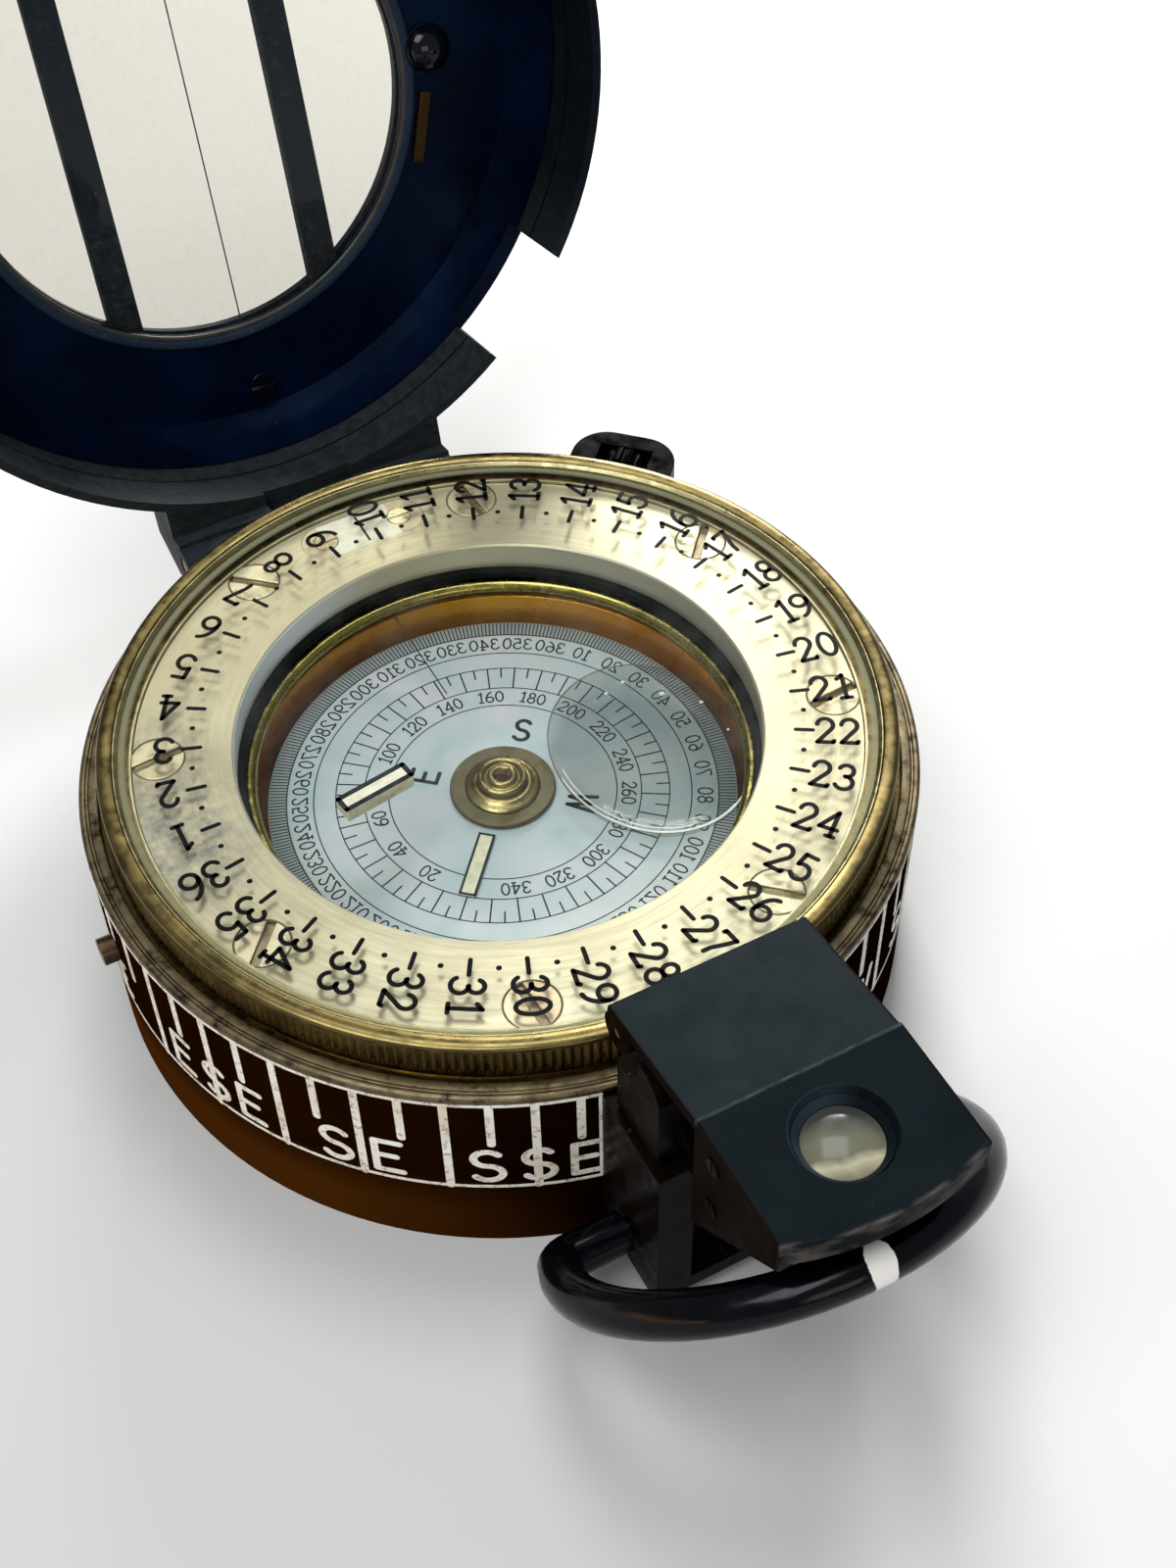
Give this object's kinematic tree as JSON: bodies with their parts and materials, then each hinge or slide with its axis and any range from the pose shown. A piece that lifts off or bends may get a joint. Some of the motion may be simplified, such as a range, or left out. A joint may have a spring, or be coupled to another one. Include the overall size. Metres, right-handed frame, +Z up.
{
  "type": "magnetic compass",
  "caption": "Prismatic pocket compass with a liquid bowl, a numbered turning bezel, a hinged lid with a glass window, a folding reading prism and a thumb ring",
  "frame": {"origin": "centre of the flat base, on the axis of the card", "axes": "+Z up out of the dial, +Y from the prism towards the lid hinge, +X towards the bezel clamp's side"},
  "size_m": [0.069, 0.1236, 0.082],
  "materials": {
    "case_enamel": "semi-gloss dark brown-black enamel over brass, worn at the edges",
    "brass": "aged brass, darker in the knurl and polished on the lips",
    "dark_screws": "tarnished brass screws and pins",
    "amber_bowl": "lacquered inside of the bowl, amber",
    "nickel": "turned nickel-plated ring with a fine concentric grain",
    "spring_metal": "thin corrugated sheet",
    "steel": "hardened steel",
    "gasket": "black rubber",
    "clear_glass": "clear glass",
    "luminous": "cream luminous compound",
    "card_stock": "pearl-grey card with fine black lines",
    "float_metal": "dark bronzed float",
    "jewel": "polished red jewel",
    "lid_enamel": "glossy blue-black enamel, scratched",
    "prism_enamel": "satin blue-black enamel, brown at the sides",
    "ring_enamel": "glossy black enamel"
  },
  "bodies": {
    "case": {"case_body": "case_enamel", "base_cover": "case_enamel", "base_screws": "dark_screws", "liquid_bowl": "amber_bowl", "expansion_diaphragm": "spring_metal", "filler_plug": "brass", "pivot_post": "brass", "pivot_point": "steel", "bowl_gasket": "gasket", "inner_glass": "clear_glass", "glass_ring": "brass", "dial_plate": "nickel", "plate_screws": "nickel", "lubber_patch": "luminous", "patch_screws": "nickel", "bezel_keeper": "brass", "hinge_block": "case_enamel", "hinge_screws": "dark_screws", "lid_hinge_pin": "dark_screws", "lid_stud": "brass", "clamp_guard": "case_enamel", "clamp_shoe": "brass", "prism_bracket": "case_enamel", "bracket_screws": "dark_screws"},
    "bezel": {"bezel_ring": "brass", "bezel_glass": "clear_glass", "bezel_lip": "brass", "index_strip": "luminous"},
    "card": {"card_disc": "card_stock", "card_float": "float_metal", "card_cap": "brass", "card_jewel": "jewel", "card_magnets": "steel", "north_bar": "luminous"},
    "lid": {"lid_shell": "lid_enamel", "window_glass": "clear_glass", "window_ring": "lid_enamel", "window_bars": "lid_enamel", "lid_knob": "lid_enamel", "lid_leaf": "brass", "lid_screw": "dark_screws"},
    "clamp": {"clamp_screw": "dark_screws"},
    "slide": {"prism_slide": "case_enamel", "prism_hinge_pin": "dark_screws"},
    "prism_box": {"prism_housing": "prism_enamel", "prism_flap": "prism_enamel", "prism_glass": "clear_glass", "reading_lens": "clear_glass", "lens_cell": "prism_enamel", "prism_screws": "dark_screws"},
    "ring": {"thumb_ring": "ring_enamel"}
  },
  "joints": [
    {"name": "bezel_turn", "type": "hinge", "parent": "case", "child": "bezel", "pos_m": [0, 0, 0.0186], "axis": [0, 0, 1], "continuous": true},
    {"name": "card_turn", "type": "hinge", "parent": "case", "child": "card", "pos_m": [0, 0, 0.0149], "axis": [0, 0, 1], "continuous": true},
    {"name": "lid_open", "type": "hinge", "parent": "case", "child": "lid", "pos_m": [0, 0.03692, 0.0139], "axis": [-1, 0, 0], "range_deg": [-103.3, 50]},
    {"name": "clamp_turn", "type": "hinge", "parent": "case", "child": "clamp", "pos_m": [0.02523, 0.02568, 0.01725], "axis": [0.7009, 0.7133, 0], "range_deg": [-90, 90]},
    {"name": "slide_lift", "type": "slide", "parent": "case", "child": "slide", "axis": [0, 0, 1], "range_m": [0, 0.003]},
    {"name": "prism_fold", "type": "hinge", "parent": "slide", "child": "prism_box", "pos_m": [0, -0.0334, 0.0275], "axis": [-1, 0, 0], "range_deg": [0, 180]},
    {"name": "ring_swing", "type": "hinge", "parent": "case", "child": "ring", "pos_m": [0, -0.036, 0.0057], "axis": [1, 0, 0], "range_deg": [-3, 44.5]}
  ]
}
